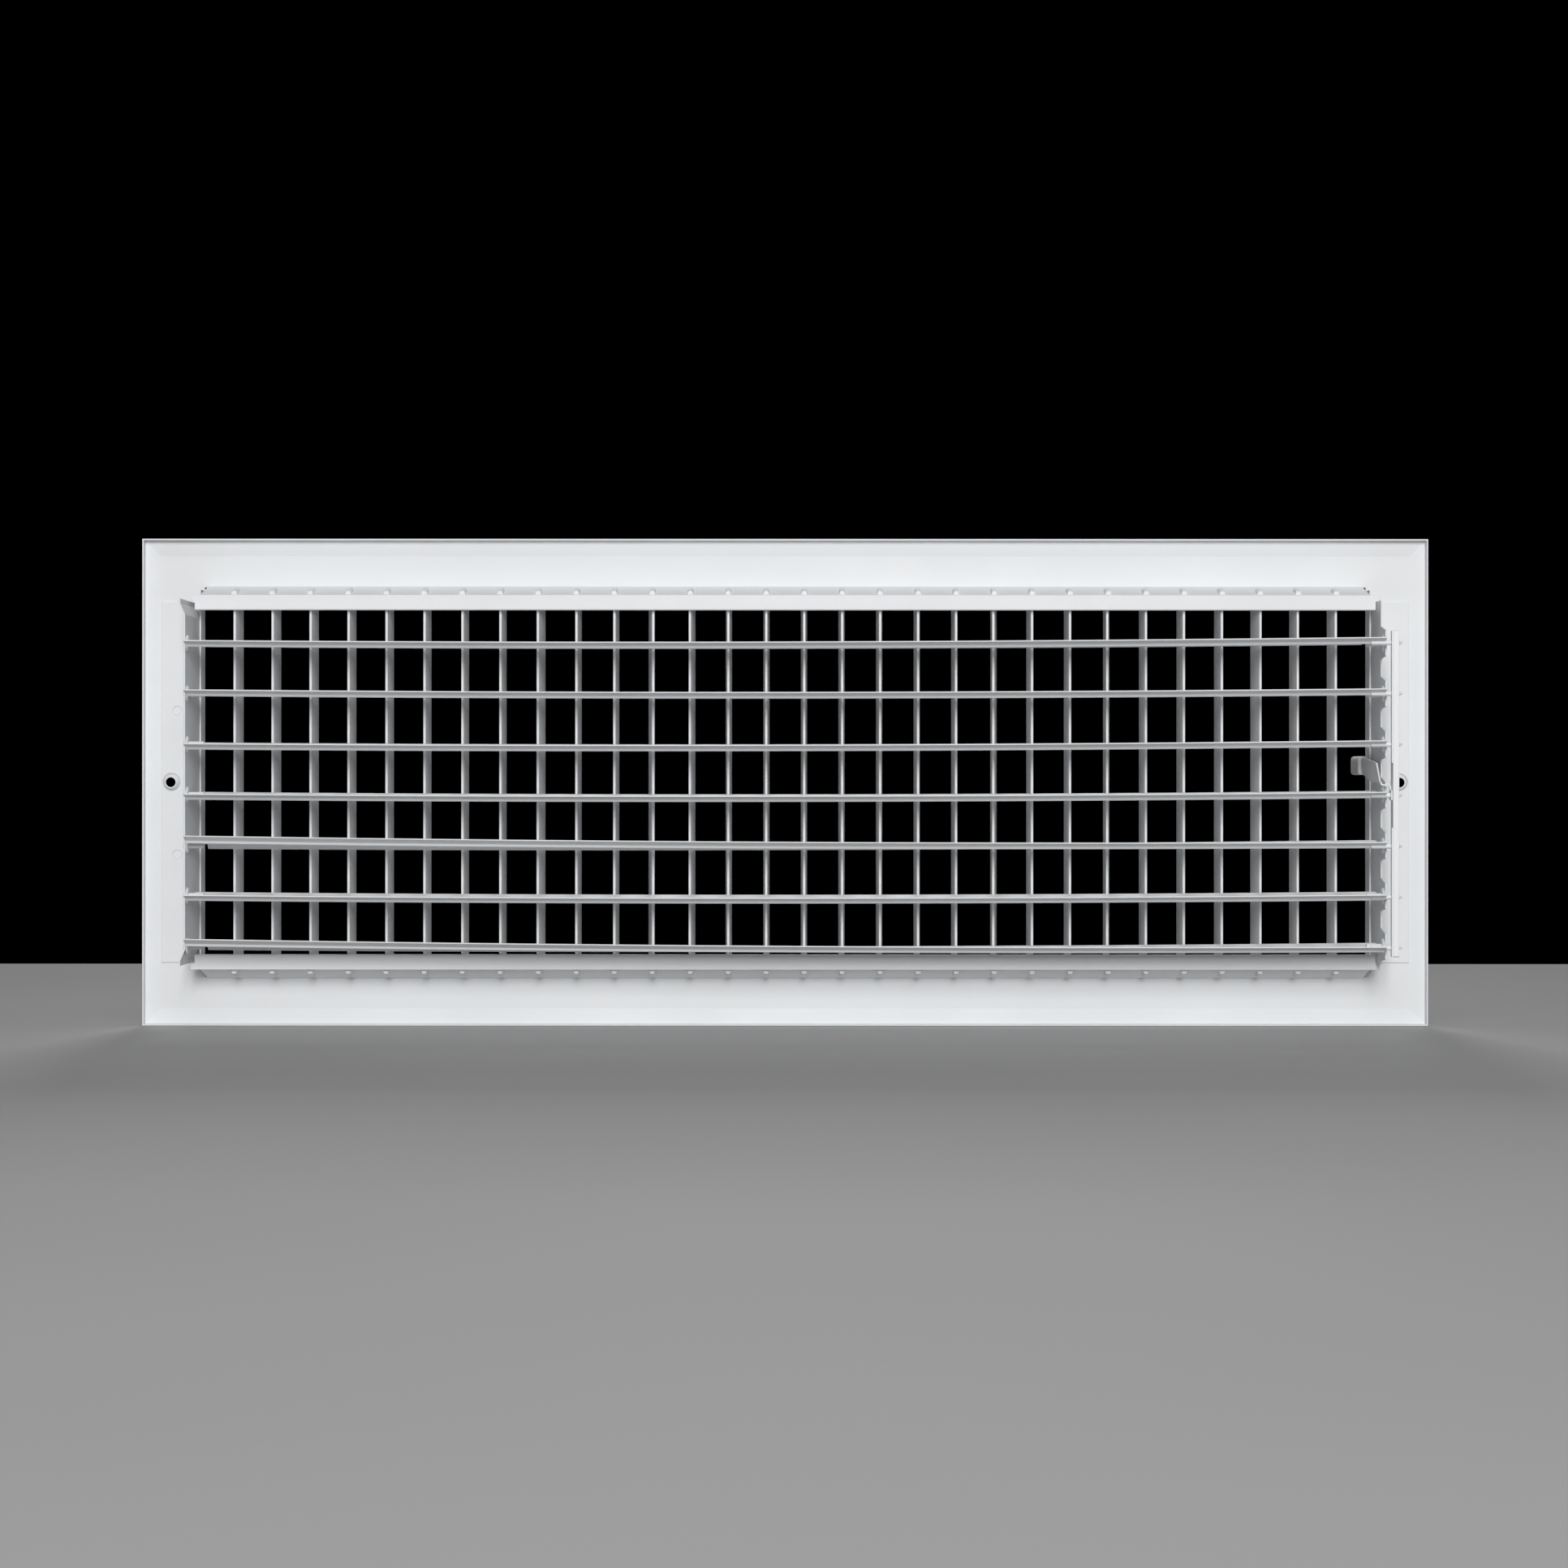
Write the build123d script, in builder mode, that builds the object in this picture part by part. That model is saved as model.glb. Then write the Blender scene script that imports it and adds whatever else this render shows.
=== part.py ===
from build123d import *
import os
from math import cos, radians, sin, tan

# Supply air register for a 24 by 8 inch duct, in millimetres.
# The wall plane is y = 0, the room lies towards -Y, the duct towards +Y, and +Z is up.
# The damper's link bar and lever stand at the -X end.

# Face plate, pressed from one sheet
sheet = 0.7
face_depth = 6.0
lip_depth = 4.2
bevel_run = 8.3
side_border = 30.625
top_border = 24.325
opening_width = 592.8
opening_height = 199.0
side_flange_depth = 9.3
flange_angle = 17.0
flange_relief = 1.8

# Wall screws, in countersunk dimples beside the opening
screw_from_opening = 16.9
screw_radius = 2.5
screw_dimple_radius = 4.4
screw_rim_radius = 3.05
screw_dimple_height = 2.4

# Upright fins, set by hand one by one
fin_count = 30
fin_side_gap = 18.725
fin_pivot_y = 6.5
fin_nose_reach = 11.0
fin_tail_reach = 4.6
fin_nose_thickness = 3.2
fin_tail_thickness = 1.2
fin_end_gap = 1.1
fin_pin_radius = 0.9
fin_pin_root = 4.0
fin_pin_tip = 0.6
fin_pin_clearance = 0.1
fin_settings = {3: 4.0, 7: -5.0, 10: -5.0, 18: -3.0, 19: 6.0, 22: -4.0}

# Pockets pressed out of the sloped flanges, which take the fin pins
pocket_width = 3.2
pocket_length = 8.0
pocket_height = 1.7
pocket_taper = 20.0
pocket_behind_pin = 2.0

# Rails that close the damper frame above and below
rail_rear_y = 15.5
rail_height = 7.6
rail_cover = 0.3
rail_lip_depth = 2.1
rail_ear_height = 3.2
rail_ear_overhang = 1.0
rail_end_gap = 0.4

# End plates, folded to an L
wall_from_opening = 0.8
foot_width = 21.2
foot_overhang = 1.0
clinch_from_wall = 13.1
clinch_height = 36.7
clinch_radius = 2.3
clinch_depth = 0.3
screw_dimple_clearance = 0.25
tab_rear_reach = 4.6
tab_notch_reach = 5.0
tab_rear_low = 6.1
tab_rear_high = 6.5
tab_root_low = 7.3
tab_root_high = 8.9
ear_length = 8.0
ear_flare = 2.4
ear_tip = 2.4

# Pivot dimples in the end plates
dimple_base_radius = 4.3
dimple_tip_radius = 2.5
dimple_height = 1.0

# Damper blades, folded sheet with a lip along each edge
blade_count = 7
blade_top_gap = 17.6
blade_bottom_gap = 5.0
blade_sheet = 0.6
blade_front_reach = 13.2
blade_front_lip_run = 2.2
blade_front_lip_drop = 2.6
blade_leaf_reach = 9.5
blade_step_run = 0.7
blade_step_rise = 1.7
blade_rear_lip_run = 4.1
blade_rear_lip_rise = 2.3
blade_rail_clearance = 0.9
blade_end_gap = 0.4
blade_tilt = -8.5
blade_twists = (-1.0, 0.0, -1.0, -1.0, 10.0, 0.0, 10.0)
pivot_pin_radius = 1.5
pivot_pin_root = 7.0
pivot_pin_tip = 1.0
pivot_pin_clearance = 0.1
crank_radius = 10.0
crank_pin_radius = 1.2
crank_point_length = 1.8
crank_point_radius = 0.3
crank_shoulder = 0.3

# Link bar outside the end plate
bar_gap = 1.3
bar_thickness = 3.0
bar_width = 5.0
bar_corner = 1.0
bar_over_top_pin = 6.0
bar_under_bottom_pin = 4.5
bar_pin_clearance = 0.1

# Lever, a bent strip on the crank of the middle blade
lever_sheet = 0.8
lever_root_gap = 0.35
lever_root_front = 8.2
lever_root_rear = 12.2
lever_root_low = -2.4
lever_root_high = 2.6
lever_bend_width = 1.2
lever_bend_low = 4.7
lever_bend_high = 6.7
lever_bend_radius = 1.1
lever_arm_from_wall = 2.8
lever_arm_heel_high = 16.1
lever_arm_knee_front = 12.0
lever_arm_knee_low = 6.9
lever_shoulder_front = 30.0
lever_shoulder_low = 10.7
lever_shoulder_high = 19.3
lever_pin_clearance = 0.05

# Grey sleeve pushed over the lever's tongue
knob_width = 4.4
knob_height = 9.5
knob_length = 15.5
knob_gap = 0.3
knob_round = 2.0
knob_nose_round = 1.6
knob_offset = 0.3
tongue_length = 11.5
tongue_height = 5.8
tongue_clearance = 0.1

# Places worked out from the sizes above
face_width = opening_width + 2 * side_border
face_height = opening_height + 2 * top_border
face_back_y = -face_depth + sheet
screw_x = opening_width / 2 + screw_from_opening
flange_slope = tan(radians(flange_angle))
flange_thickness = sheet / cos(radians(flange_angle))
flange_rear_y = rail_rear_y - sheet
flange_half_length = opening_width / 2 - flange_relief
fin_pitch = (opening_width - 2 * fin_side_gap) / (fin_count - 1)
wall_inner_x = opening_width / 2 + wall_from_opening
wall_outer_x = wall_inner_x + sheet


def flange_inside(y):
    """Half height of the free way between the sloped flanges at a depth."""
    return opening_height / 2 - flange_slope * (y + face_depth)


pocket_y = fin_pivot_y + pocket_behind_pin
pocket_bore = 2 * (fin_pin_radius + fin_pin_clearance)
fin_pin_end = flange_inside(fin_pivot_y) + flange_thickness + fin_pin_tip
rail_outer_z = flange_inside(flange_rear_y) + flange_thickness + rail_cover
rail_inner_z = rail_outer_z - rail_height
wall_half_height = rail_outer_z - rail_ear_height
blade_pitch = (2 * rail_inner_z - blade_top_gap - blade_bottom_gap) / (blade_count - 1)
blade_pivots = [rail_inner_z - blade_top_gap - blade_pitch * row for row in range(blade_count)]
blade_half_length = wall_inner_x - dimple_height - blade_end_gap
blade_y = rail_rear_y + blade_front_reach + blade_rail_clearance
crank_y = blade_y + crank_radius
wall_rear_y = blade_y + tab_rear_reach
bar_inner_x = wall_outer_x + bar_gap
bar_outer_x = bar_inner_x + bar_thickness
lever_blade = (blade_count + 1) // 2
lever_z = blade_pivots[lever_blade - 1]

os.makedirs("parts", exist_ok=True)


def duct_plane(x, tilt=0.0, y=0.0, z=0.0):
    """Plane across the register's length, with its own x to the rear and its own y up."""
    chord = (0, cos(radians(tilt)), sin(radians(tilt)))
    return Plane(origin=(x, y, z), x_dir=chord, z_dir=(1, 0, 0))


def finish(piece, name):
    """Label a finished piece and write it."""
    piece.label = name
    export_step(piece, f"parts/{name}.step")


# Face plate: tray with a return lip, bevelled border, opening, flanges, pin pockets and screw dimples
with BuildPart() as face_plate:
    with BuildSketch(Plane.XZ):
        Rectangle(face_width, face_height)
    extrude(amount=lip_depth)
    with BuildSketch(Plane.XZ.offset(lip_depth)):
        Rectangle(face_width, face_height)
    with BuildSketch(Plane.XZ.offset(face_depth)):
        Rectangle(face_width - 2 * bevel_run, face_height - 2 * bevel_run)
    loft()
    offset(amount=-sheet, openings=face_plate.faces().sort_by(Axis.Y)[-1])
    with BuildSketch(Plane.XZ.offset(face_depth)):
        Rectangle(opening_width, opening_height)
    extrude(amount=-face_depth, mode=Mode.SUBTRACT)
    with BuildSketch(Plane.XZ.offset(face_depth)):
        with GridLocations(opening_width + sheet, 1, 2, 1):
            Rectangle(sheet, opening_height - 2 * flange_relief)
    extrude(amount=-side_flange_depth)
    with BuildSketch(Plane.YZ):
        with BuildLine():
            Polyline(
                (-face_depth, flange_inside(-face_depth)),
                (flange_rear_y, flange_inside(flange_rear_y)),
                (flange_rear_y, flange_inside(flange_rear_y) + flange_thickness),
                (-face_depth, flange_inside(-face_depth) + flange_thickness),
                close=True,
            )
        make_face()
        mirror(about=Plane.XZ)
    extrude(amount=flange_half_length, both=True)
    for up in (-1, 1):
        pocket_foot = (0, pocket_y, up * (flange_inside(pocket_y) + flange_thickness))
        outwards = (0, sin(radians(flange_angle)), up * cos(radians(flange_angle)))
        with BuildSketch(Plane(origin=pocket_foot, x_dir=(1, 0, 0), z_dir=outwards)):
            with GridLocations(fin_pitch, 1, fin_count, 1):
                Rectangle(pocket_width, pocket_length)
        extrude(amount=pocket_height, taper=pocket_taper)
    with BuildSketch(Plane(origin=(0, fin_pivot_y, 0))):
        with GridLocations(fin_pitch, 1, fin_count, 1):
            Rectangle(pocket_bore, pocket_bore)
    extrude(amount=fin_pin_end + fin_pin_clearance, both=True, mode=Mode.SUBTRACT)
    for side in (-1, 1):
        with Locations(Plane(origin=(side * screw_x, face_back_y, 0), z_dir=(0, 1, 0))):
            Cone(
                screw_dimple_radius,
                screw_rim_radius,
                screw_dimple_height,
                align=(Align.CENTER, Align.CENTER, Align.MIN),
            )
        with Locations(Plane(origin=(side * screw_x, -face_depth, 0), z_dir=(0, 1, 0))):
            Cone(
                screw_dimple_radius,
                screw_radius,
                screw_dimple_height,
                align=(Align.CENTER, Align.CENTER, Align.MIN),
                mode=Mode.SUBTRACT,
            )
            Cylinder(
                screw_radius,
                2 * (screw_dimple_height + sheet),
                mode=Mode.SUBTRACT,
            )
finish(face_plate.part, "face_plate")

# Fins: solid teardrop with a round nose to the room and a pin at each end
for number in range(1, fin_count + 1):
    pivot_x = (number - (fin_count + 1) / 2) * fin_pitch
    setting = radians(fin_settings.get(number, 0.0))
    across = (cos(setting), sin(setting), 0)
    chord = (-sin(setting), cos(setting), 0)
    pivot = (pivot_x, fin_pivot_y, 0)
    body_half = flange_inside(fin_pivot_y) - fin_end_gap
    nose_half = body_half + flange_slope * fin_nose_reach
    tail_half = body_half - flange_slope * fin_tail_reach
    with BuildPart() as fin:
        with BuildSketch(Plane(origin=pivot, x_dir=across, z_dir=(0, 0, 1))):
            with Locations((0, fin_nose_thickness / 2 - fin_nose_reach)):
                Circle(fin_nose_thickness / 2)
            with Locations((0, fin_tail_reach - fin_tail_thickness / 2)):
                Rectangle(fin_tail_thickness, fin_tail_thickness)
            make_hull()
        extrude(amount=nose_half, both=True)
        with BuildSketch(Plane(origin=pivot, x_dir=chord, z_dir=across)):
            with BuildLine():
                Polyline(
                    (-fin_nose_reach, -nose_half),
                    (fin_tail_reach, -tail_half),
                    (fin_tail_reach, tail_half),
                    (-fin_nose_reach, nose_half),
                    close=True,
                )
            make_face()
        extrude(amount=fin_nose_thickness, both=True, mode=Mode.INTERSECT)
        for end in (-1, 1):
            with BuildSketch(Plane(origin=pivot).offset(end * fin_pin_end)):
                Circle(fin_pin_radius)
            extrude(amount=-end * (fin_pin_end - body_half + fin_pin_root))
    finish(fin.part, f"fin_{number:02d}")


def add_foot(side):
    """Foot of an end plate on the back of the face, clinched in two places, clear of the wall screw."""
    foot_plane = Plane.XZ.offset(-face_back_y)
    foot_mid = side * (wall_inner_x + foot_width / 2)
    with BuildSketch(foot_plane) as foot:
        with Locations((foot_mid, 0)):
            Rectangle(foot_width, 2 * (wall_half_height + foot_overhang))
        with Locations((side * screw_x, 0)):
            Circle(screw_dimple_radius + screw_dimple_clearance, mode=Mode.SUBTRACT)
    extrude(foot.sketch, amount=-sheet)
    with BuildSketch(foot_plane.offset(-sheet)) as clinches:
        with Locations((side * (wall_inner_x + clinch_from_wall), 0)):
            with GridLocations(1, 2 * clinch_height, 1, 2):
                Circle(clinch_radius)
    extrude(clinches.sketch, amount=clinch_depth, mode=Mode.SUBTRACT)


def add_pivot_dimples(side):
    """Cones pressed towards the blades round each pivot, each with a bearing hole at its tip."""
    inwards = (-side, 0, 0)
    standing = (Align.CENTER, Align.CENTER, Align.MIN)
    for pivot_z in blade_pivots:
        with Locations(Plane(origin=(side * wall_inner_x, blade_y, pivot_z), z_dir=inwards)):
            Cone(dimple_base_radius, dimple_tip_radius, dimple_height, align=standing)
        with Locations(Plane(origin=(side * wall_outer_x, blade_y, pivot_z), z_dir=inwards)):
            Cone(dimple_base_radius, dimple_tip_radius, dimple_height, align=standing, mode=Mode.SUBTRACT)
            Cylinder(
                pivot_pin_radius + pivot_pin_clearance,
                2 * (sheet + dimple_height),
                mode=Mode.SUBTRACT,
            )


# End plate at the link bar: a tab at each pivot, with notches between for the cranks to swing through
with BuildPart() as link_end_plate:
    add_foot(-1)
    notch_y = blade_y - tab_notch_reach
    with BuildSketch(duct_plane(-wall_outer_x)):
        with Locations(((face_back_y + notch_y) / 2, 0)):
            Rectangle(notch_y - face_back_y, 2 * wall_half_height)
        with Locations(*[(blade_y, pivot_z) for pivot_z in blade_pivots]):
            Polygon(
                (-tab_notch_reach - sheet, -tab_root_low),
                (-tab_notch_reach, -tab_root_low),
                (tab_rear_reach, -tab_rear_low),
                (tab_rear_reach, tab_rear_high),
                (-tab_notch_reach, tab_root_high),
                (-tab_notch_reach - sheet, tab_root_high),
                align=None,
            )
    extrude(amount=sheet)
    add_pivot_dimples(-1)
finish(link_end_plate.part, "link_end_plate")

# Plain end plate: straight rear edge, with both ends of the wall bent a little outwards
with BuildPart() as plain_end_plate:
    add_foot(1)
    ear_root = wall_half_height - ear_length
    ear_knee = wall_half_height - ear_tip
    ear_inner_x = wall_inner_x + ear_flare
    ear_outer_x = wall_outer_x + ear_flare
    with BuildSketch(Plane.XZ.offset(-face_back_y)):
        with BuildLine():
            Polyline(
                (wall_inner_x, -ear_root),
                (wall_inner_x, ear_root),
                (ear_inner_x, ear_knee),
                (ear_inner_x, wall_half_height),
                (ear_outer_x, wall_half_height),
                (ear_outer_x, ear_knee),
                (wall_outer_x, ear_root),
                (wall_outer_x, -ear_root),
                (ear_outer_x, -ear_knee),
                (ear_outer_x, -wall_half_height),
                (ear_inner_x, -wall_half_height),
                (ear_inner_x, -ear_knee),
                close=True,
            )
        make_face()
    extrude(amount=face_back_y - wall_rear_y)
    add_pivot_dimples(1)
finish(plain_end_plate.part, "plain_end_plate")

# Rails: webs behind the flanges, with ears over the ends of the end plates and a lip along the airway
rail_half_length = wall_inner_x - rail_end_gap
rail_ear_half_length = wall_outer_x + rail_ear_overhang
for name, up in (("top_rail", 1), ("bottom_rail", -1)):
    with BuildPart() as rail:
        with BuildSketch(Plane.XZ.offset(-rail_rear_y)):
            with Locations((0, up * (rail_inner_z + rail_height / 2))):
                Rectangle(2 * rail_half_length, rail_height)
            with Locations((0, up * (rail_outer_z - rail_ear_height / 2))):
                Rectangle(2 * rail_ear_half_length, rail_ear_height)
        extrude(amount=sheet)
        with BuildSketch(Plane.XZ.offset(-rail_rear_y)):
            with Locations((0, up * (rail_inner_z + sheet / 2))):
                Rectangle(2 * rail_half_length, sheet)
        extrude(amount=rail_lip_depth)
        rear_edges = rail.edges().filter_by(Axis.X).group_by(Axis.Y)[-1]
        fillet(rear_edges.sort_by(Axis.Z)[0 if up > 0 else -1], radius=sheet)
    finish(rail.part, name)

# Damper blades: lip down in front, step and lip up behind, pivot pins and a crank pin at the link end
leaf_points = [
    (-blade_front_reach, -blade_front_lip_drop),
    (-blade_front_reach + blade_front_lip_run, 0),
    (blade_leaf_reach, 0),
    (blade_leaf_reach + blade_step_run, blade_step_rise),
    (
        blade_leaf_reach + blade_step_run + blade_rear_lip_run,
        blade_step_rise + blade_rear_lip_rise,
    ),
]
# One shift down and back leaves every fold of the leaf about one sheet thick
sheet_shift = (blade_sheet * 0.6, -blade_sheet * 0.85)
under_points = [(u + sheet_shift[0], w + sheet_shift[1]) for u, w in reversed(leaf_points)]
pivot_tip_x = wall_outer_x + pivot_pin_tip
crank_end_x = bar_outer_x + crank_shoulder
for number, pivot_z in enumerate(blade_pivots, start=1):
    twist = blade_twists[(number - 1) % len(blade_twists)]
    with BuildPart() as blade:
        for x, tilt in ((-blade_half_length, blade_tilt), (blade_half_length, blade_tilt + twist)):
            with BuildSketch(duct_plane(x, tilt, blade_y, pivot_z)):
                with BuildLine():
                    Polyline(*leaf_points, *under_points, close=True)
                make_face()
        loft(ruled=True)
        for side in (-1, 1):
            with BuildSketch(duct_plane(side * pivot_tip_x, 0, blade_y, pivot_z)):
                Circle(pivot_pin_radius)
            extrude(amount=-side * (pivot_tip_x - blade_half_length + pivot_pin_root))
        with BuildSketch(duct_plane(-crank_end_x, 0, crank_y, pivot_z)):
            Circle(crank_pin_radius)
        extrude(amount=crank_end_x - blade_half_length + pivot_pin_root)
        with Locations(Plane(origin=(-crank_end_x, crank_y, pivot_z), z_dir=(-1, 0, 0))):
            Cone(
                crank_pin_radius,
                crank_point_radius,
                crank_point_length,
                align=(Align.CENTER, Align.CENTER, Align.MIN),
            )
    finish(blade.part, f"damper_blade_{number}")

# Link bar: one hole for each crank pin
bar_top = blade_pivots[0] + bar_over_top_pin
bar_bottom = blade_pivots[-1] - bar_under_bottom_pin
with BuildPart() as link_bar:
    with BuildSketch(duct_plane(-bar_outer_x)):
        with Locations((crank_y, (bar_top + bar_bottom) / 2)):
            RectangleRounded(bar_width, bar_top - bar_bottom, bar_corner)
        with Locations(*[(crank_y, pivot_z) for pivot_z in blade_pivots]):
            Circle(crank_pin_radius + bar_pin_clearance, mode=Mode.SUBTRACT)
    extrude(amount=bar_thickness)
finish(link_bar.part, "link_bar")

# Lever: root on the crank pin outside the wall, bent inwards behind the wall, with the arm inside it
lever_root_x = wall_outer_x + lever_root_gap + lever_sheet
lever_arm_x = wall_inner_x - lever_arm_from_wall
tongue_middle = lever_shoulder_low + (lever_shoulder_high - lever_shoulder_low) / 2
with BuildPart() as lever:
    with BuildSketch(duct_plane(-lever_root_x, 0, blade_y, lever_z)):
        with Locations(
            ((lever_root_front + lever_root_rear) / 2, (lever_root_low + lever_root_high) / 2)
        ):
            Rectangle(lever_root_rear - lever_root_front, lever_root_high - lever_root_low)
        with Locations((crank_radius, 0)):
            Circle(crank_pin_radius + lever_pin_clearance, mode=Mode.SUBTRACT)
    extrude(amount=lever_sheet)
    with BuildSketch(Plane(origin=(0, blade_y + lever_root_front, lever_z), x_dir=(1, 0, 0), z_dir=(0, -1, 0))):
        with BuildLine():
            strip = Polyline(
                (lever_sheet / 2 - lever_root_x, lever_root_high - lever_sheet),
                (lever_sheet / 2 - lever_root_x, lever_bend_low + lever_sheet / 2),
                (lever_sheet / 2 - lever_arm_x, lever_bend_low + lever_sheet / 2),
                (lever_sheet / 2 - lever_arm_x, lever_bend_high),
            )
            fillet(strip.vertices()[1:3], radius=lever_bend_radius)
        trace(line_width=lever_sheet)
    extrude(amount=-lever_bend_width)
    with BuildSketch(duct_plane(-lever_arm_x, 0, blade_y, lever_z)):
        with BuildLine():
            Polyline(
                (lever_root_front + lever_bend_width, lever_bend_high),
                (lever_root_front - lever_sheet, lever_bend_high),
                (0, lever_arm_heel_high),
                (-lever_shoulder_front, lever_shoulder_high),
                (-lever_shoulder_front, tongue_middle + tongue_height / 2),
                (-lever_shoulder_front - tongue_length, tongue_middle + tongue_height / 2),
                (-lever_shoulder_front - tongue_length, tongue_middle - tongue_height / 2),
                (-lever_shoulder_front, tongue_middle - tongue_height / 2),
                (-lever_shoulder_front, lever_shoulder_low),
                (-lever_arm_knee_front, lever_arm_knee_low),
                (lever_root_front / 2, lever_bend_high - lever_sheet),
                (lever_root_front + lever_bend_width, lever_bend_high - lever_sheet),
                close=True,
            )
        make_face()
    extrude(amount=lever_sheet)
finish(lever.part, "lever")

# Knob: rounded sleeve with a blind slot for the tongue
knob_rear_y = blade_y - lever_shoulder_front - knob_gap
knob_middle_z = lever_z + tongue_middle
knob_middle_x = -lever_arm_x + lever_sheet / 2 + knob_offset
slot_middle = (-lever_arm_x + lever_sheet / 2, knob_middle_z)
with BuildPart() as lever_knob:
    with BuildSketch(Plane.XZ.offset(-knob_rear_y)):
        with Locations((knob_middle_x, knob_middle_z)):
            RectangleRounded(knob_width, knob_height, knob_round)
    extrude(amount=knob_length)
    fillet(lever_knob.faces().sort_by(Axis.Y)[0].edges(), radius=knob_nose_round)
    with BuildSketch(Plane.XZ.offset(-knob_rear_y)):
        with Locations(slot_middle):
            Rectangle(lever_sheet + 2 * tongue_clearance, tongue_height + 2 * tongue_clearance)
    extrude(amount=tongue_length - knob_gap + tongue_clearance, mode=Mode.SUBTRACT)
finish(lever_knob.part, "lever_knob")
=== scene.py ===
"""Supply air register seen from its duct side: finishes, fine pieces, light and camera."""

import logging
import math
from dataclasses import dataclass, field
from enum import Enum

import bmesh
import bpy
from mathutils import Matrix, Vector


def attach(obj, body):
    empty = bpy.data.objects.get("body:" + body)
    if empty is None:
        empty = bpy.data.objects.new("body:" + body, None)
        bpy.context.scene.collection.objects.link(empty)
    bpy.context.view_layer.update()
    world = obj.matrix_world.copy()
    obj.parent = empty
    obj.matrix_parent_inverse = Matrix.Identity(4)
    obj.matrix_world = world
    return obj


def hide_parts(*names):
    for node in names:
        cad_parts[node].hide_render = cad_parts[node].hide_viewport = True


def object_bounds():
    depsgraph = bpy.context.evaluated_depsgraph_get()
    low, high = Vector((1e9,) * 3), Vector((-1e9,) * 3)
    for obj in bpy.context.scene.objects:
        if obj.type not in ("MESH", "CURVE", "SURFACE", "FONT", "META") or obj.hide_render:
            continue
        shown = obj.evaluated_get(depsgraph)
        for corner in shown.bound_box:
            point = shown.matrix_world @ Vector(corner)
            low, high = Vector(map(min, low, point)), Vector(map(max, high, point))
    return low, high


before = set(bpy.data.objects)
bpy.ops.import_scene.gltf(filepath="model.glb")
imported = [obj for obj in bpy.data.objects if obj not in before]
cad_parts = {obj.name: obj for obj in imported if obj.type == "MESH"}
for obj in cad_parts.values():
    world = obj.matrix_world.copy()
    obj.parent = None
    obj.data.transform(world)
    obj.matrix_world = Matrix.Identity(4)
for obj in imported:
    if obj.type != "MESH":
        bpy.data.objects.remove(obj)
CAD_LOW, CAD_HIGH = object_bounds()

MM = 0.001
FRAME_BODY = "frame"
SMOOTH_ANGLE = math.radians(32.0)
RIGHT_ANGLE = math.radians(90.0)
WELD = 0.000002
MIX_FACTOR, MIX_BASE, MIX_TOP, MIX_RESULT = 0, 6, 7, 2
NOISE_SPAN = (0.3, 0.7)
COLOUR_OUT = {"Colour": "NodeSocketColor"}
Colour = tuple[float, float, float, float]
Point = tuple[float, float, float]
Material = bpy.types.Material
Tree = bpy.types.NodeTree
Socket = bpy.types.NodeSocket
Value = float | Socket
log = logging.getLogger("register")


class Slot(Enum):
    """Material slots of the record."""

    STEEL = "white_steel"
    FIN = "white_fin"
    LINK = "white_link"
    LEVER = "white_lever"
    KNOB = "grey_knob"


def grey(level: float) -> Colour:
    """A neutral colour of that linear level."""
    return (level, level, level, 1.0)


def lay_node(tree: Tree, kind: str, **settings: object) -> bpy.types.Node:
    """Lay down a node in a tree.

    Args:
        tree: Tree that gets the node.
        kind: Node type.
        settings: Properties to set on it.

    Returns:
        The node.
    """
    node = tree.nodes.new(kind)
    for label, value in settings.items():
        setattr(node, label, value)
    return node


class NodeSketch:
    """A node tree while its nodes are laid down."""

    def __init__(self, name: str, kind: str) -> None:
        """Open an empty tree of that name and kind."""
        self.tree = bpy.data.node_groups.new(name, kind)

    def open_sockets(self) -> None:
        """Lay down the group's own input and output, once its sockets are named."""
        self.source = self.tree.nodes.new("NodeGroupInput").outputs
        self.result = self.tree.nodes.new("NodeGroupOutput").inputs

    def feed(self, socket: Socket, value: object) -> None:
        """Link a socket to another, or set its value.

        Args:
            socket: Input to feed.
            value: Output socket, or a plain value.
        """
        if isinstance(value, Socket):
            self.tree.links.new(value, socket)
        else:
            socket.default_value = value

    def add(self, kind: str, feeds: dict[str, object] | None = None,
            **settings: object) -> bpy.types.Node:
        """Lay down a node, set its properties and feed its inputs.

        Args:
            kind: Node type.
            feeds: Value or socket for each input, by name.
            settings: Properties to set.

        Returns:
            The node.
        """
        node = lay_node(self.tree, kind, **settings)
        for label, value in (feeds or {}).items():
            self.feed(node.inputs[label], value)
        return node

    def sum(self, operation: str, first: Value, second: Value = 0.0) -> Socket:
        """Work out one step of arithmetic.

        Args:
            operation: Operation of the Math node.
            first: First value or socket.
            second: Second value or socket.

        Returns:
            The result's socket.
        """
        node = self.add("ShaderNodeMath", operation=operation)
        self.feed(node.inputs[0], first)
        self.feed(node.inputs[1], second)
        return node.outputs[0]


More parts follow.
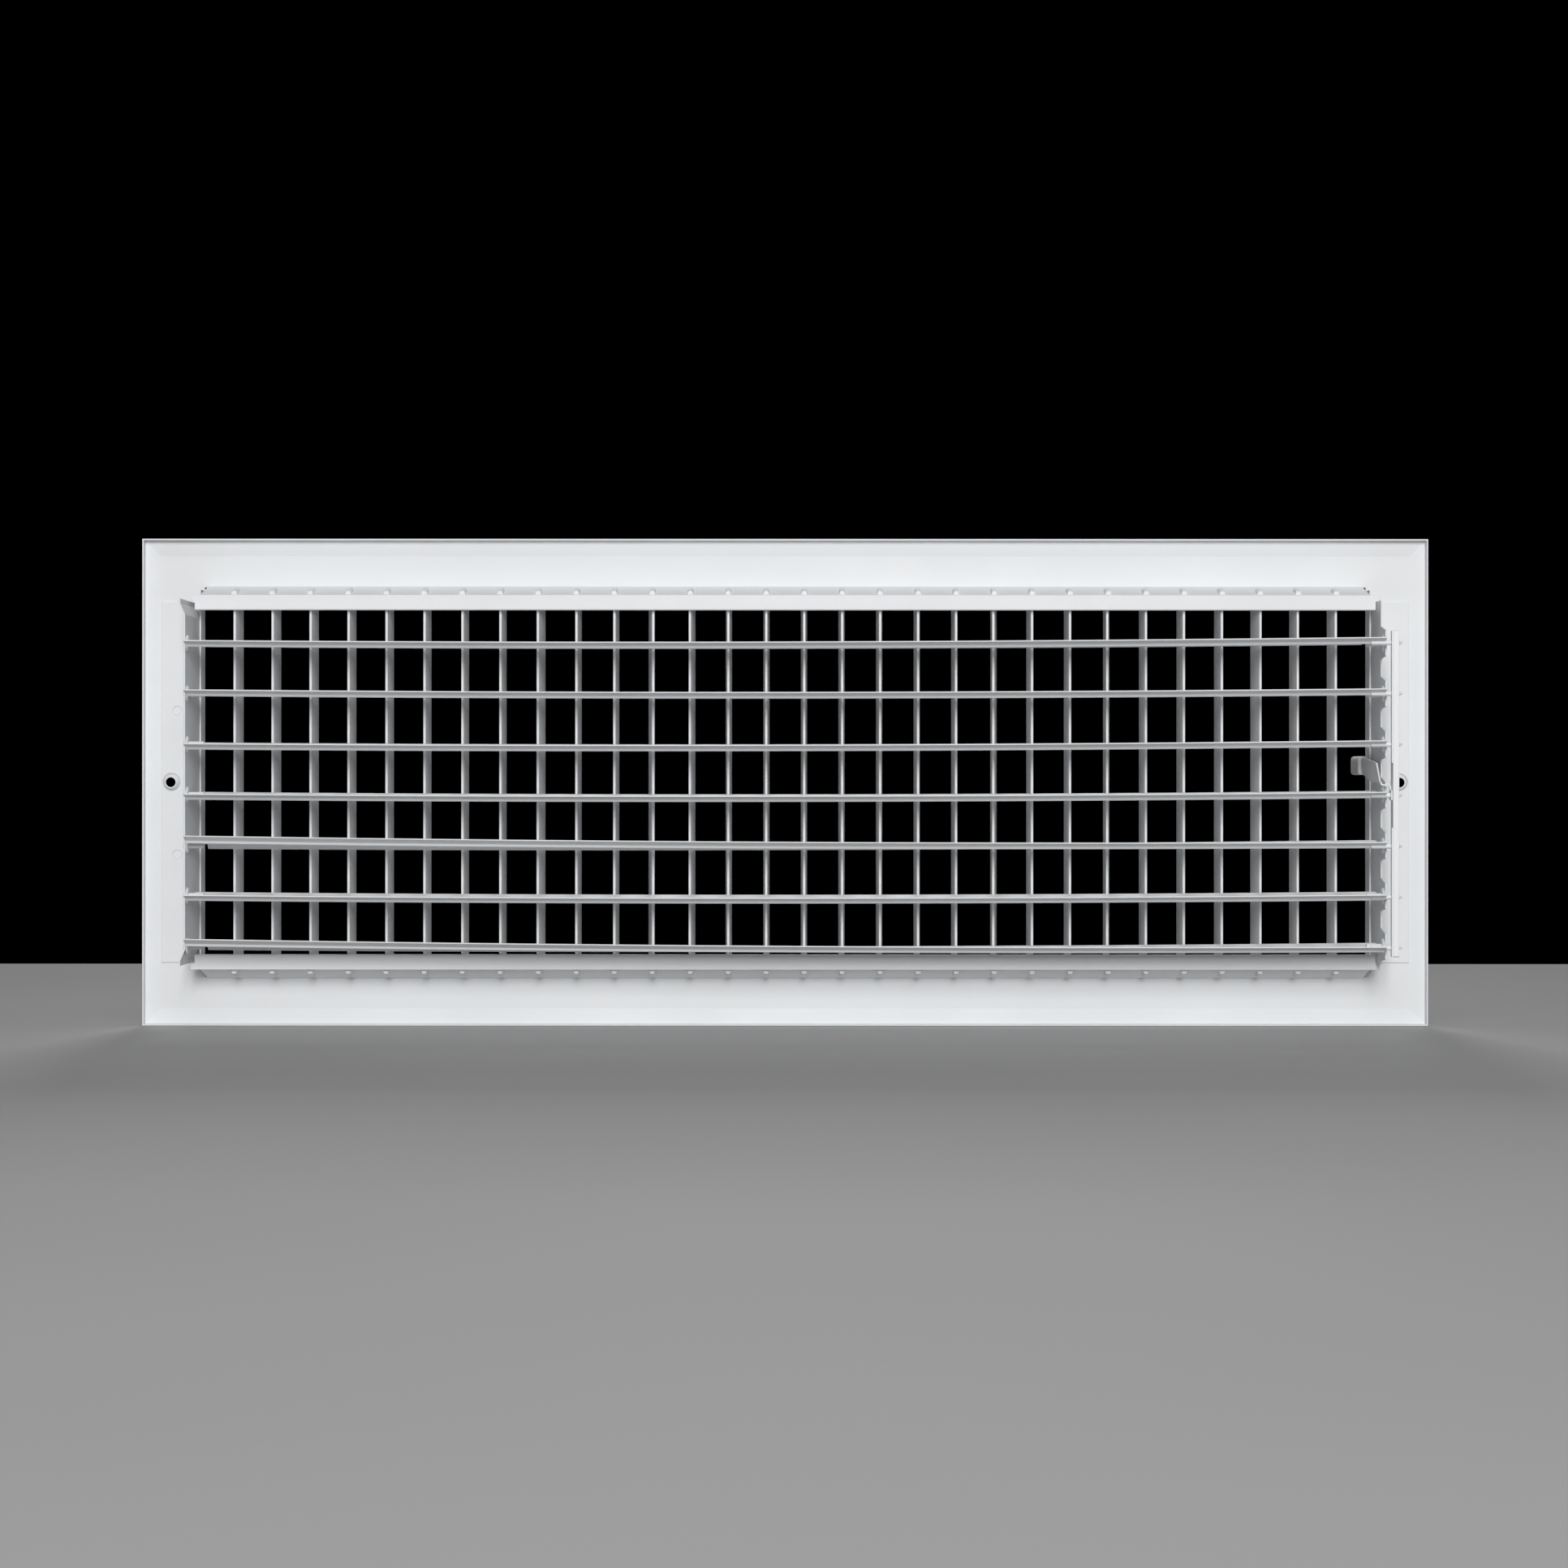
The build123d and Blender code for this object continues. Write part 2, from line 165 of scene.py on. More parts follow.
class EffectSketch(NodeSketch):
    """A shader node group while its nodes are laid down."""

    def __init__(self, name: str, inputs: dict[str, float | Colour],
                 outputs: dict[str, str]) -> None:
        """Open a group with named sockets.

        Args:
            name: Name of the group.
            inputs: Start value of each input; a tuple makes a colour socket.
            outputs: Socket type of each output.
        """
        super().__init__(name, "ShaderNodeTree")
        for label, value in inputs.items():
            kind = "NodeSocketColor" if isinstance(value, tuple) else "NodeSocketFloat"
            socket = self.tree.interface.new_socket(label, in_out="INPUT", socket_type=kind)
            socket.default_value = value
        for label, kind in outputs.items():
            self.tree.interface.new_socket(label, in_out="OUTPUT", socket_type=kind)
        self.open_sockets()

    def place(self, scale: Point = (1.0, 1.0, 1.0)) -> Socket:
        """Object coordinates, stretched by a scale for each axis."""
        spot = self.add("ShaderNodeTexCoord").outputs["Object"]
        return self.add("ShaderNodeMapping", {"Vector": spot, "Scale": scale}).outputs["Vector"]

    def blend(self, mode: str, factor: Value, base: Socket, top: Socket) -> Socket:
        """Mix two colours.

        Args:
            mode: Blend type of the Mix node.
            factor: Share of the top colour, a value or a socket.
            base: Colour below.
            top: Colour above.

        Returns:
            The mixed colour.
        """
        mix = self.add("ShaderNodeMix", data_type="RGBA", blend_type=mode)
        for place, value in ((MIX_FACTOR, factor), (MIX_BASE, base), (MIX_TOP, top)):
            self.feed(mix.inputs[place], value)
        return mix.outputs[MIX_RESULT]

    def cover(self, mask: Socket, top: str) -> None:
        """Put out the group's colour, covered by another of its colours under a mask."""
        covered = self.blend("MIX", mask, self.source["Colour"], self.source[top])
        self.feed(self.result["Colour"], covered)

    def ramp(self, value: Socket, low: float, high: float,
             start: float = 0.0, end: float = 1.0) -> Socket:
        """A value spread smoothly, so that low gives start and high gives end."""
        node = self.add("ShaderNodeMapRange", {
            "Value": value, "From Min": low, "From Max": high, "To Min": start, "To Max": end},
            interpolation_type="SMOOTHSTEP")
        return node.outputs["Result"]

    def noise(self, scale: Value, detail: float, stretch: Point = (1.0, 1.0, 1.0)) -> Socket:
        """Noise in object space, by features per metre, octaves and each axis's scale."""
        node = self.add("ShaderNodeTexNoise", {
            "Scale": scale, "Detail": detail, "Vector": self.place(stretch)})
        return node.outputs["Fac"]


class Effects:
    """Shader node groups that the finishes share, each built once."""

    def __init__(self) -> None:
        """Build every group."""
        self.mottle = self._mottle()
        self.specks = self._specks()
        self.rub = self._rub()
        self.grime_and_shade = self._grime_and_shade()
        self.peel = self._peel()
        self.gloss = self._gloss()
        self.soften = self._soften()

    @staticmethod
    def _mottle() -> Tree:
        """Slow drift of a coat's colour, with faint streaks along the length.

        Returns:
            The group.
        """
        sketch = EffectSketch("coat_mottle", {
            "Colour": grey(0.8), "Drift": 0.05, "Patches": 9.0}, COLOUR_OUT)
        patches = sketch.noise(sketch.source["Patches"], detail=3.0)
        patch = sketch.ramp(patches, *NOISE_SPAN, start=-1.0, end=1.0)
        streaks = sketch.noise(60.0, detail=2.0, stretch=(0.12, 1.0, 1.0))
        streak = sketch.ramp(streaks, low=0.35, high=0.7, start=-0.5, end=0.5)
        both = sketch.sum("MULTIPLY", sketch.sum("ADD", patch, streak), sketch.source["Drift"])
        level = sketch.sum("ADD", both, 1.0)
        mottled = sketch.blend("MULTIPLY", 1.0, sketch.source["Colour"], level)
        sketch.feed(sketch.result["Colour"], mottled)
        return sketch.tree

    @staticmethod
    def _specks() -> Tree:
        """Grains of dust that lie on a coat.

        Returns:
            The group.
        """
        sketch = EffectSketch("dust_specks", {
            "Colour": grey(0.8), "Dust": grey(0.3), "Grains": 160.0, "Size": 0.06}, COLOUR_OUT)
        cells = sketch.add("ShaderNodeTexVoronoi", {
            "Scale": sketch.source["Grains"], "Vector": sketch.place()})
        split = sketch.add("ShaderNodeSeparateColor", {"Color": cells.outputs["Color"]})
        reach = sketch.sum("MULTIPLY", split.outputs["Red"], sketch.source["Size"])
        inside = sketch.sum("SUBTRACT", reach, cells.outputs["Distance"])
        rare = sketch.ramp(split.outputs["Green"], low=0.6, high=1.0)
        mask = sketch.sum("MULTIPLY", sketch.ramp(inside, low=0.0, high=0.02), rare)
        sketch.cover(mask, "Dust")
        return sketch.tree

    @staticmethod
    def _rub() -> Tree:
        """Coat rubbed thin along sharp edges.

        Returns:
            The group.
        """
        sketch = EffectSketch("edge_rub", {
            "Colour": grey(0.8), "Bare": grey(0.4), "Amount": 0.4}, COLOUR_OUT)
        bevel = sketch.add("ShaderNodeBevel", {"Radius": 0.35 * MM}, samples=4)
        true_normal = sketch.add("ShaderNodeNewGeometry")
        facing = sketch.add("ShaderNodeVectorMath", operation="DOT_PRODUCT")
        sketch.feed(facing.inputs[0], bevel.outputs["Normal"])
        sketch.feed(facing.inputs[1], true_normal.outputs["Normal"])
        edge = sketch.ramp(facing.outputs["Value"], low=0.97, high=0.75)
        broken = sketch.ramp(sketch.noise(190.0, detail=3.0), low=0.42, high=0.66)
        worn = sketch.sum("MULTIPLY", edge, broken)
        sketch.cover(sketch.sum("MULTIPLY", worn, sketch.source["Amount"]), "Bare")
        return sketch.tree

    @staticmethod
    def _grime_and_shade() -> Tree:
        """Duct dust in folds and corners, and painted shade there: ambient occlusion darkens
        creases and undersides.

        Returns:
            The group.
        """
        sketch = EffectSketch("crease_grime_and_shade", {
            "Colour": grey(0.8), "Grime": grey(0.3), "Amount": 0.3}, COLOUR_OUT)
        # Painted shade: ambient occlusion darkens folds, corners and undersides, mixed in with
        # the duct dust colour.
        corner = sketch.add("ShaderNodeAmbientOcclusion", {"Distance": 4.0 * MM},
                            samples=6, only_local=False)
        depth = sketch.ramp(corner.outputs["AO"], low=0.7, high=0.15)
        patchy = sketch.ramp(sketch.noise(70.0, detail=3.0), *NOISE_SPAN, start=0.4, end=1.0)
        caught = sketch.sum("MULTIPLY", depth, patchy)
        sketch.cover(sketch.sum("MULTIPLY", caught, sketch.source["Amount"]), "Grime")
        return sketch.tree

    @staticmethod
    def _peel() -> Tree:
        """Height of the fine waves in a sprayed or moulded skin.

        Returns:
            The group.
        """
        sketch = EffectSketch("skin_peel", {"Waves": 650.0, "Grit": 0.3},
                              {"Height": "NodeSocketFloat"})
        wave = sketch.noise(sketch.source["Waves"], detail=1.0)
        grains = sketch.noise(2600.0, detail=0.0)
        grit = sketch.sum("MULTIPLY", grains, sketch.source["Grit"])
        sketch.feed(sketch.result["Height"], sketch.sum("ADD", wave, grit))
        return sketch.tree

    @staticmethod
    def _gloss() -> Tree:
        """Roughness that changes a little from place to place.

        Returns:
            The group.
        """
        sketch = EffectSketch("gloss_drift", {"Roughness": 0.45, "Drift": 0.08},
                              {"Roughness": "NodeSocketFloat"})
        swing = sketch.ramp(sketch.noise(22.0, detail=4.0), *NOISE_SPAN, start=-1.0, end=1.0)
        change = sketch.sum("MULTIPLY", swing, sketch.source["Drift"])
        drifted = sketch.sum("ADD", sketch.source["Roughness"], change)
        sketch.feed(sketch.result["Roughness"], drifted)
        return sketch.tree

    @staticmethod
    def _soften() -> Tree:
        """Normal that runs smoothly round folds and coated edges.

        Returns:
            The group.
        """
        sketch = EffectSketch("soft_edges", {"Round": 0.4 * MM}, {"Normal": "NodeSocketVector"})
        bevel = sketch.add("ShaderNodeBevel", {"Radius": sketch.source["Round"]}, samples=6)
        sketch.feed(sketch.result["Normal"], bevel.outputs["Normal"])
        return sketch.tree


@dataclass(frozen=True)
class Finish:
    """A coat or moulded skin, from its colour down to its fine waves."""

    name: str
    slot: Slot
    colour: Colour
    bare: Colour
    roughness: float
    drift: float = 0.012
    gloss_drift: float = 0.07
    rub: float = 0.3
    dust: Colour = grey(0.28)
    speck_size: float = 0.05
    grime_and_shade_colour: Colour = (0.36, 0.35, 0.33, 1.0)
    # Share of crease dust and painted shade that darkens folds and corners.
    grime_and_shade: float = 0.22
    waves: float = 650.0
    wave_depth: float = 0.00004
    wave_strength: float = 0.6
    grit: float = 0.3
    specular: float = 0.3
    edge_round: float = 0.45 * MM
    scatter: float = 0.0
    scatter_depth: float = 4.0 * MM

    def make(self, effects: Effects) -> Material:
        """Build the material.

        Args:
            effects: Shared node groups.

        Returns:
            The material, named after the finish.
        """
        material = bpy.data.materials.new(self.name)
        material.use_nodes = True
        tree = material.node_tree
        shader = tree.nodes["Principled BSDF"]
        shader.inputs["Specular IOR Level"].default_value = self.specular
        shader.inputs["Subsurface Weight"].default_value = self.scatter
        shader.inputs["Subsurface Radius"].default_value = (1.0, 1.0, 1.0)
        shader.inputs["Subsurface Scale"].default_value = self.scatter_depth
        colour = None
        for group, values in (
            (effects.mottle, {"Colour": self.colour, "Drift": self.drift}),
            (effects.rub, {"Bare": self.bare, "Amount": self.rub}),
            (effects.specks, {"Dust": self.dust, "Size": self.speck_size}),
            # Crease dust and painted shade: darker in folds and corners by ambient occlusion.
            (effects.grime_and_shade, {"Grime": self.grime_and_shade_colour, "Amount": self.grime_and_shade}),
        ):
            node = self._place(tree, group, values)
            if colour:
                tree.links.new(colour, node.inputs["Colour"])
            colour = node.outputs["Colour"]
        tree.links.new(colour, shader.inputs["Base Color"])
        gloss = self._place(tree, effects.gloss, {
            "Roughness": self.roughness, "Drift": self.gloss_drift})
        tree.links.new(gloss.outputs["Roughness"], shader.inputs["Roughness"])
        peel = self._place(tree, effects.peel, {"Waves": self.waves, "Grit": self.grit})
        soft = self._place(tree, effects.soften, {"Round": self.edge_round})
        bump = lay_node(tree, "ShaderNodeBump")
        bump.inputs["Strength"].default_value = self.wave_strength
        bump.inputs["Distance"].default_value = self.wave_depth
        tree.links.new(peel.outputs["Height"], bump.inputs["Height"])
        tree.links.new(soft.outputs["Normal"], bump.inputs["Normal"])
        tree.links.new(bump.outputs["Normal"], shader.inputs["Normal"])
        return material

    @staticmethod
    def _place(tree: Tree, group: Tree,
               values: dict[str, object]) -> bpy.types.Node:
        """Place a shared group in a material with its own values.

        Args:
            tree: The material's tree.
            group: Shared group.
            values: Values of its inputs.

        Returns:
            The group's node.
        """
        node = lay_node(tree, "ShaderNodeGroup", node_tree=group)
        for label, value in values.items():
            node.inputs[label].default_value = value
        return node


FINISHES = (
    Finish("white_powder_coat", Slot.STEEL, (0.80, 0.815, 0.83, 1.0), grey(0.45), 0.55),
    Finish("white_fin_coat", Slot.FIN, (0.79, 0.80, 0.81, 1.0), grey(0.55), 0.38,
           wave_depth=0.00003, edge_round=0.2 * MM),
    Finish("white_link_coat", Slot.LINK, (0.86, 0.87, 0.88, 1.0), grey(0.5), 0.5),
    Finish("white_lever_coat", Slot.LEVER, (0.76, 0.77, 0.78, 1.0), grey(0.42), 0.42,
           rub=0.5, edge_round=0.2 * MM),
    Finish("grey_moulded_plastic", Slot.KNOB, (0.86, 0.87, 0.88, 1.0), grey(0.6), 0.5,
           waves=1500.0, grit=0.8, edge_round=0.2 * MM, scatter=0.9),
)


class FormSketch(NodeSketch):
    """A Geometry Nodes tree while its nodes are laid down."""

    def __init__(self, name: str, sizes: dict[str, float]) -> None:
        """Open a tree with an input for each size, and one for the coat.

        Args:
            name: Name of the tree.
            sizes: Sizes of one piece, in metres or radians, whose names the inputs take.
        """
        super().__init__(name, "GeometryNodeTree")
        face = self.tree.interface
        face.new_socket("Geometry", in_out="INPUT", socket_type="NodeSocketGeometry")
        for size in sizes:
            face.new_socket(size, in_out="INPUT", socket_type="NodeSocketFloat")
        face.new_socket("Coat", in_out="INPUT", socket_type="NodeSocketMaterial")
        face.new_socket("Geometry", in_out="OUTPUT", socket_type="NodeSocketGeometry")
        self.open_sockets()

    def vector(self, x: Value = 0.0, y: Value = 0.0, z: Value = 0.0) -> Socket:
        """A vector from three values or sockets."""
        return self.add("ShaderNodeCombineXYZ", {"X": x, "Y": y, "Z": z}).outputs["Vector"]

    def where(self) -> bpy.types.NodeOutputs:
        """The X, Y and Z of each point."""
        position = self.add("GeometryNodeInputPosition").outputs["Position"]
        return self.add("ShaderNodeSeparateXYZ", {"Vector": position}).outputs

    def pillar(self, sides: int, radius: Value, height: Value = 1.0) -> Socket:
        """An upright cylinder about the origin."""
        node = self.add("GeometryNodeMeshCylinder", {
            "Vertices": sides, "Radius": radius, "Depth": height})
        return node.outputs["Mesh"]

    def cone(self, sides: int, base: Value, top: Value, height: Value = 0.0,
             fill: str = "NONE") -> Socket:
        """An upright frustum on the origin, or a flat ring where it has no height."""
        node = self.add("GeometryNodeMeshCone", {
            "Vertices": sides, "Radius Top": top, "Radius Bottom": base, "Depth": height},
            fill_type=fill)
        return node.outputs["Mesh"]

    def move(self, shape: Socket, place: Socket | None = None,
             turn: Point = (0.0, 0.0, 0.0)) -> Socket:
        """Turn a shape by fixed angles, then move it.

        Args:
            shape: Shape to move.
            place: How far it moves.
            turn: Angles about x, y and z.

        Returns:
            The moved shape.
        """
        node = self.add("GeometryNodeTransform", {"Geometry": shape, "Rotation": turn})
        if place:
            self.feed(node.inputs["Translation"], place)
        return node.outputs["Geometry"]

    def swing(self, shape: Socket, axis: str, angle: Socket, place: Socket) -> Socket:
        """Turn each point about an axis by its own angle, then move it.

        Args:
            shape: Shape to turn.
            axis: Rotation type of the Vector Rotate node.
            angle: Angle, which may change from point to point.
            place: Move, which may change too.

        Returns:
            The turned shape.
        """
        position = self.add("GeometryNodeInputPosition").outputs["Position"]
        turned = self.add("ShaderNodeVectorRotate", {"Vector": position, "Angle": angle},
                          rotation_type=axis)
        node = self.add("GeometryNodeSetPosition", {
            "Geometry": shape, "Position": turned.outputs["Vector"], "Offset": place})
        return node.outputs["Geometry"]

    def repeat(self, shape: Socket) -> Socket:
        """Set a shape on every point of the base mesh.

        Args:
            shape: Shape to repeat.

        Returns:
            The instances.
        """
        points = self.add("GeometryNodeMeshToPoints", {"Mesh": self.source["Geometry"]})
        node = self.add("GeometryNodeInstanceOnPoints", {
            "Points": points.outputs["Points"], "Instance": shape})
        return node.outputs["Instances"]

    def join(self, *shapes: Socket) -> Socket:
        """Join shapes into one.

        Args:
            shapes: Shapes to join.

        Returns:
            All of them.
        """
        node = self.add("GeometryNodeJoinGeometry")
        for shape in shapes:
            self.feed(node.inputs["Geometry"], shape)
        return node.outputs["Geometry"]

    def close(self, shape: Socket) -> None:
        """End the tree: real mesh, with the coat on it.

        Args:
            shape: The finished shape.
        """
        real = self.add("GeometryNodeRealizeInstances", {"Geometry": shape}).outputs["Geometry"]
        coated = self.add("GeometryNodeSetMaterial", {
            "Geometry": real, "Material": self.source["Coat"]})
        self.feed(self.result["Geometry"], coated.outputs["Geometry"])

    def grow(self, name: str, base: bpy.types.Mesh, sizes: dict[str, float],
             coat: Material) -> bpy.types.Object:
        """Run the tree on a base mesh and keep the result as a plain mesh.

        Args:
            name: Name of the piece.
            base: Mesh that goes into the tree.
            sizes: Value of each size input, by name.
            coat: Finish of the piece.

        Returns:
            The piece, with no modifier left on it.
        """
        piece = bpy.data.objects.new(name, base)
        bpy.context.scene.collection.objects.link(piece)
        modifier = piece.modifiers.new("form", "NODES")
        modifier.node_group = self.tree
        values = {**sizes, "Coat": coat}
        for socket in self.tree.interface.items_tree:
            if socket.in_out == "INPUT" and socket.name in values:
                modifier[socket.identifier] = values[socket.name]
        graph = bpy.context.evaluated_depsgraph_get()
        mesh = bpy.data.meshes.new_from_object(piece.evaluated_get(graph))
        mesh.name = name
        piece.modifiers.remove(modifier)
        piece.data = mesh
        tidy_mesh(mesh)
        return piece


def sizes_of(maker: object, *labels: str) -> dict[str, float]:
    """A maker's own sizes by the names of its tree's inputs, such as Pin End for pin_end."""
    return {label.replace("_", " ").title(): getattr(maker, label) for label in labels}


def point_mesh(name: str, points: list[Point], joined: bool = False) -> bpy.types.Mesh:
    """A mesh of bare points, or of the line through them.

    Args:
        name: Name of the mesh.
        points: Its points.
        joined: Whether edges join each point to the next.

    Returns:
        A mesh without faces.
    """
    mesh = bpy.data.meshes.new(name)
    edges = [(i, i + 1) for i in range(len(points) - 1)] if joined else []
    mesh.from_pydata(points, edges, [])
    return mesh


def tidy_mesh(mesh: bpy.types.Mesh) -> None:
    """Weld a mesh, turn its faces outwards and smooth its shallow edges.

    Args:
        mesh: Mesh to tidy.
    """
    work = bmesh.new()
    work.from_mesh(mesh)
    bmesh.ops.remove_doubles(work, verts=work.verts, dist=WELD)
    bmesh.ops.recalc_face_normals(work, faces=work.faces)
    work.to_mesh(mesh)
    work.free()
    mesh.shade_smooth()
    mesh.set_sharp_from_angle(angle=SMOOTH_ANGLE)


def bridge(work: bmesh.types.BMesh, near: list[bmesh.types.BMVert],
           far: list[bmesh.types.BMVert]) -> None:
    """Join two closed loops of the same count by a band of faces.

    Args:
        work: Mesh in work.
        near: First loop.
        far: Second loop.
    """
    for i in range(len(near)):
        j = (i + 1) % len(near)
        work.faces.new((near[i], near[j], far[j], far[i]))


def dress(piece: bpy.types.Object, material: Material) -> None:
    """Give a piece one material in all its slots."""
    piece.data.materials.clear()
    piece.data.materials.append(material)


def keep(work: bmesh.types.BMesh, name: str, coat: Material) -> bpy.types.Object:
    """Turn a mesh in work into a tidy piece with its coat on.

    Args:
        work: Mesh in work, which is freed.
        name: Name of the piece.
        coat: Its finish.

    Returns:
        The piece.
    """
    mesh = bpy.data.meshes.new(name)
    work.to_mesh(mesh)
    work.free()
    tidy_mesh(mesh)
    piece = bpy.data.objects.new(name, mesh)
    bpy.context.scene.collection.objects.link(piece)
    dress(piece, coat)
    return piece


def settle(piece: bpy.types.Object, body: str, slot: Slot, *nodes: str) -> None:
    """Seat a finished piece on its body.

    Args:
        piece: The piece.
        body: Body that carries it.
        slot: Slot of its finish; not used.
        nodes: CAD nodes that it stands for.
    """
    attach(piece, body)
    if nodes:
        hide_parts(*nodes)
    log.info("%s made, %d faces", piece.name, len(piece.data.polygons))


@dataclass
class FinRow:
    """Upright fins: a teardrop in section, with sloped ends and a pin at either end."""

    count: int = 30
    pitch: float = 19.15 * MM
    pivot_y: float = 6.5 * MM
    nose_reach: float = 11.0 * MM
    nose_radius: float = 1.6 * MM
    nose_sides: int = 36
    tail_reach: float = 4.6 * MM
    tail_half: float = 0.6 * MM
    tail_round: float = 0.22 * MM
    tail_sides: int = 12
    half_height: float = 94.578 * MM
    end_slope: float = math.tan(math.radians(17.0))
    pin_radius: float = 0.9 * MM
    pin_end: float = 97.01 * MM
    pin_root: float = 1.0 * MM
    pin_sides: int = 16
    settings: dict[int, float] = field(
        default_factory=lambda: {3: 4.0, 7: -5.0, 10: -5.0, 18: -3.0, 19: 6.0, 22: -4.0})

    def build(self, coat: Material) -> None:
        """Make every fin at its own setting.

        Args:
            coat: Finish of the fins.
        """
        form = self._form()
        for number in range(1, self.count + 1):
            name = f"fin_{number:02d}"
            base = bpy.data.meshes.new(name)
            piece = form.grow(f"{name}_blade", base, self._sizes(number), coat)
            settle(piece, name, Slot.FIN, name)

    def _sizes(self, number: int) -> dict[str, float]:
        """Sizes of one fin, counted from the link end, as its tree takes them."""
        return sizes_of(self, "pivot_y", "nose_radius", "tail_round", "half_height", "end_slope",
                        "pin_radius", "pin_end") | {
            "Pivot X": (number - (self.count + 1) / 2) * self.pitch,
            "Setting": math.radians(self.settings.get(number, 0.0)),
            "Nose Place": self.nose_radius - self.nose_reach,
            "Tail Half": self.tail_half - self.tail_round,
            "Tail Place": self.tail_reach - self.tail_round,
            "Pin Length": self.pin_end - self.half_height + self.pin_root,
        }

    def _form(self) -> FormSketch:
        """Tree that hulls a nose and two tail corners, slopes the ends and adds the pins.

        Returns:
            The tree, which grows one fin from its sizes.
        """
        sketch = FormSketch("fin_form", self._sizes(1))
        size = sketch.source
        nose = sketch.move(sketch.pillar(self.nose_sides, size["Nose Radius"]),
                           sketch.vector(y=size["Nose Place"]))
        corner = sketch.pillar(self.tail_sides, size["Tail Round"])
        other_half = sketch.sum("MULTIPLY", size["Tail Half"], -1.0)
        inner = sketch.move(corner, sketch.vector(other_half, size["Tail Place"]))
        outer = sketch.move(corner, sketch.vector(size["Tail Half"], size["Tail Place"]))
        hull = sketch.add("GeometryNodeConvexHull", {"Geometry": sketch.join(nose, inner, outer)})
        place = sketch.where()
        fall = sketch.sum("MULTIPLY", place["Y"], size["End Slope"])
        reach = sketch.sum("SUBTRACT", size["Half Height"], fall)
        height = sketch.sum("MULTIPLY", sketch.sum("SIGN", place["Z"]), reach)
        sloped = sketch.add("GeometryNodeSetPosition", {
            "Geometry": hull.outputs["Convex Hull"],
            "Position": sketch.vector(place["X"], place["Y"], height)})
        pin = sketch.pillar(self.pin_sides, size["Pin Radius"], size["Pin Length"])
        half_pin = sketch.sum("MULTIPLY", size["Pin Length"], 0.5)
        middle = sketch.sum("SUBTRACT", size["Pin End"], half_pin)
        upper = sketch.move(pin, sketch.vector(z=middle))
        lower = sketch.move(pin, sketch.vector(z=sketch.sum("MULTIPLY", middle, -1.0)))
        whole = sketch.join(sloped.outputs["Geometry"], upper, lower)
        pivot = sketch.vector(size["Pivot X"], size["Pivot Y"])
        sketch.close(sketch.swing(whole, "Z_AXIS", size["Setting"], pivot))
        return sketch


@dataclass(frozen=True)
class PivotRow:
    """Level pivots of the damper, one below the other."""

    count: int = 7
    y: float = 29.6 * MM
    first_z: float = 68.973 * MM
    pitch: float = 25.091 * MM

    def height(self, row: int) -> float:
        """Height of a pivot, counted down from 0."""
        return self.first_z - self.pitch * row


